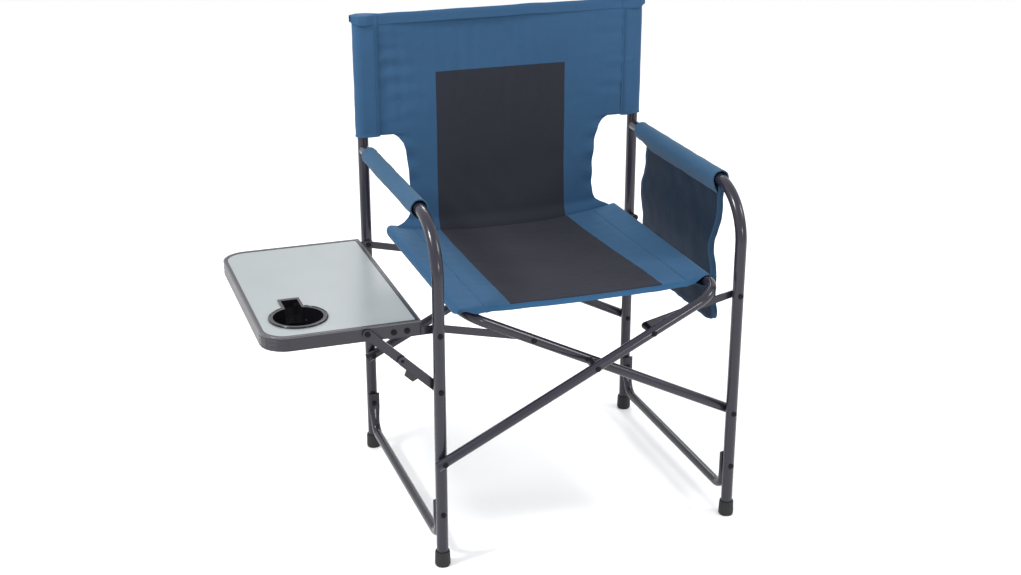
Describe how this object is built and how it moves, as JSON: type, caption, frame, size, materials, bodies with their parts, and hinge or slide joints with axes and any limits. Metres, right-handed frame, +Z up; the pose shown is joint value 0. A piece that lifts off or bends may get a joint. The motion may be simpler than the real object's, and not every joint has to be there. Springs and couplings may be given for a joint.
{
  "type": "folding camp chair with side table",
  "caption": "Folding director's camp chair with tubular frame, fabric seat and back, padded arm sleeves, a drop-down side table with cup holder, and a side pouch.",
  "frame": {"origin": "centre of the plan bounding box, at the floor", "axes": "+Z up, -Y is the side the sitter faces, +X towards the frame without the table"},
  "size_m": [0.9078, 0.5812, 0.935],
  "materials": {
    "left_leg_and_arm": "gloss",
    "left_back_post": "gloss",
    "left_base_rail": "gloss",
    "front_left_foot": "matte",
    "rear_left_foot": "matte",
    "left_post_plug": "satin",
    "left_arm_bolt": "gloss",
    "front_left_rail_rivet": "gloss",
    "rear_left_rail_rivet": "gloss",
    "front_left_scissor_rivet": "gloss",
    "rear_left_scissor_rivet": "gloss",
    "front_left_link_rivet": "gloss",
    "rear_left_link_rivet": "gloss",
    "stay_leg_rivet": "gloss",
    "left_arm_cover": "matte",
    "back_fabric": "matte",
    "scissor_tube_a": "gloss",
    "front_centre_rivet": "gloss",
    "rear_centre_rivet": "gloss",
    "front_centre_spacer": "satin",
    "rear_centre_spacer": "satin",
    "front_tube_a_rivet": "gloss",
    "rear_tube_a_rivet": "gloss",
    "seat_fabric": "matte",
    "scissor_tube_b": "gloss",
    "front_tube_b_rivet": "gloss",
    "rear_tube_b_rivet": "gloss",
    "right_leg_and_arm": "gloss",
    "right_back_post": "gloss",
    "right_base_rail": "gloss",
    "front_right_foot": "matte",
    "rear_right_foot": "matte",
    "right_post_plug": "satin",
    "right_arm_bolt": "gloss",
    "front_right_rail_rivet": "gloss",
    "rear_right_rail_rivet": "gloss",
    "front_right_scissor_rivet": "gloss",
    "rear_right_scissor_rivet": "gloss",
    "front_right_link_rivet": "gloss",
    "rear_right_link_rivet": "gloss",
    "right_arm_cover": "matte",
    "side_pouch": "matte",
    "front_left_link": "gloss",
    "rear_left_link": "gloss",
    "front_right_link": "gloss",
    "rear_right_link": "gloss",
    "table_rim": "satin",
    "table_panel": "satin",
    "cup_holder": "gloss",
    "front_table_strap": "gloss",
    "rear_table_strap": "gloss",
    "front_strap_screw_1": "gloss",
    "front_strap_screw_2": "gloss",
    "rear_strap_screw_1": "gloss",
    "rear_strap_screw_2": "gloss",
    "stay_table_rivet": "gloss",
    "stay_upper_arm": "gloss",
    "stay_lower_arm": "gloss",
    "stay_joint_rivet": "gloss",
    "stay_latch": "satin"
  },
  "bodies": {
    "left_frame": {"left_leg_and_arm": "left_leg_and_arm", "left_back_post": "left_back_post", "left_base_rail": "left_base_rail", "front_left_foot": "front_left_foot", "rear_left_foot": "rear_left_foot", "left_post_plug": "left_post_plug", "left_arm_bolt": "left_arm_bolt", "front_left_rail_rivet": "front_left_rail_rivet", "rear_left_rail_rivet": "rear_left_rail_rivet", "front_left_scissor_rivet": "front_left_scissor_rivet", "rear_left_scissor_rivet": "rear_left_scissor_rivet", "front_left_link_rivet": "front_left_link_rivet", "rear_left_link_rivet": "rear_left_link_rivet", "stay_leg_rivet": "stay_leg_rivet", "left_arm_cover": "left_arm_cover", "back_fabric": "back_fabric"},
    "x_frame_a": {"scissor_tube_a": "scissor_tube_a", "front_centre_rivet": "front_centre_rivet", "rear_centre_rivet": "rear_centre_rivet", "front_centre_spacer": "front_centre_spacer", "rear_centre_spacer": "rear_centre_spacer", "front_tube_a_rivet": "front_tube_a_rivet", "rear_tube_a_rivet": "rear_tube_a_rivet", "seat_fabric": "seat_fabric"},
    "x_frame_b": {"scissor_tube_b": "scissor_tube_b", "front_tube_b_rivet": "front_tube_b_rivet", "rear_tube_b_rivet": "rear_tube_b_rivet"},
    "right_frame": {"right_leg_and_arm": "right_leg_and_arm", "right_back_post": "right_back_post", "right_base_rail": "right_base_rail", "front_right_foot": "front_right_foot", "rear_right_foot": "rear_right_foot", "right_post_plug": "right_post_plug", "right_arm_bolt": "right_arm_bolt", "front_right_rail_rivet": "front_right_rail_rivet", "rear_right_rail_rivet": "rear_right_rail_rivet", "front_right_scissor_rivet": "front_right_scissor_rivet", "rear_right_scissor_rivet": "rear_right_scissor_rivet", "front_right_link_rivet": "front_right_link_rivet", "rear_right_link_rivet": "rear_right_link_rivet", "right_arm_cover": "right_arm_cover", "side_pouch": "side_pouch"},
    "front_left_link_arm": {"front_left_link": "front_left_link"},
    "rear_left_link_arm": {"rear_left_link": "rear_left_link"},
    "front_right_link_arm": {"front_right_link": "front_right_link"},
    "rear_right_link_arm": {"rear_right_link": "rear_right_link"},
    "side_table": {"table_rim": "table_rim", "table_panel": "table_panel", "cup_holder": "cup_holder", "front_table_strap": "front_table_strap", "rear_table_strap": "rear_table_strap", "front_strap_screw_1": "front_strap_screw_1", "front_strap_screw_2": "front_strap_screw_2", "rear_strap_screw_1": "rear_strap_screw_1", "rear_strap_screw_2": "rear_strap_screw_2", "stay_table_rivet": "stay_table_rivet"},
    "stay_upper": {"stay_upper_arm": "stay_upper_arm"},
    "stay_lower": {"stay_lower_arm": "stay_lower_arm", "stay_joint_rivet": "stay_joint_rivet"},
    "latch": {"stay_latch": "stay_latch"}
  },
  "joints": [
    {"name": "fold", "type": "hinge", "parent": "left_frame", "child": "x_frame_a", "pos_m": [-0.1489, 0, 0.222], "axis": [0, -1, 0], "range_deg": [0, 40], "deforming": ["seat_fabric", "back_fabric"]},
    {"name": "scissor_cross", "type": "hinge", "parent": "x_frame_a", "child": "x_frame_b", "pos_m": [0.1441, 0, 0.36823], "axis": [0, -1, 0], "range_deg": [-80, 0]},
    {"name": "right_frame_turn", "type": "hinge", "parent": "x_frame_b", "child": "right_frame", "pos_m": [0.4371, 0, 0.222], "axis": [0, -1, 0], "range_deg": [0, 40]},
    {"name": "front_left_link_turn", "type": "hinge", "parent": "left_frame", "child": "front_left_link_arm", "pos_m": [-0.1489, 0, 0.4655], "axis": [0, -1, 0], "range_deg": [0, 77.36]},
    {"name": "rear_left_link_turn", "type": "hinge", "parent": "left_frame", "child": "rear_left_link_arm", "pos_m": [-0.1489, 0, 0.4655], "axis": [0, -1, 0], "range_deg": [0, 77.36]},
    {"name": "front_right_link_turn", "type": "hinge", "parent": "right_frame", "child": "front_right_link_arm", "pos_m": [0.4371, 0, 0.4655], "axis": [0, 1, 0], "range_deg": [0, 77.36]},
    {"name": "rear_right_link_turn", "type": "hinge", "parent": "right_frame", "child": "rear_right_link_arm", "pos_m": [0.4371, 0, 0.4655], "axis": [0, 1, 0], "range_deg": [0, 77.36]},
    {"name": "table_fold", "type": "hinge", "parent": "left_frame", "child": "side_table", "pos_m": [-0.1489, 0, 0.4655], "axis": [0, -1, 0], "range_deg": [0, 90]},
    {"name": "stay_leg_turn", "type": "hinge", "parent": "left_frame", "child": "stay_lower", "pos_m": [-0.1489, 0, 0.357], "axis": [0, -1, 0], "range_deg": [0, 168.71]},
    {"name": "stay_table_turn", "type": "hinge", "parent": "side_table", "child": "stay_upper", "pos_m": [-0.2729, 0, 0.476], "axis": [0, -1, 0], "range_deg": [-89.23, 0]},
    {"name": "latch_slide", "type": "slide", "parent": "stay_lower", "child": "latch", "axis": [-0.7215, 0, 0.6924], "range_m": [0, 0.012]}
  ],
  "couplings": [
    {"joint": "scissor_cross", "follows": "fold", "ratio": -2},
    {"joint": "right_frame_turn", "follows": "fold", "ratio": 1},
    {"joint": "front_left_link_turn", "follows": "fold", "ratio": 1.9337},
    {"joint": "rear_left_link_turn", "follows": "fold", "ratio": 1.9337},
    {"joint": "front_right_link_turn", "follows": "fold", "ratio": 1.9337},
    {"joint": "rear_right_link_turn", "follows": "fold", "ratio": 1.9337},
    {"joint": "stay_leg_turn", "follows": "table_fold", "ratio": 1.8744},
    {"joint": "stay_table_turn", "follows": "table_fold", "ratio": -0.99137}
  ]
}
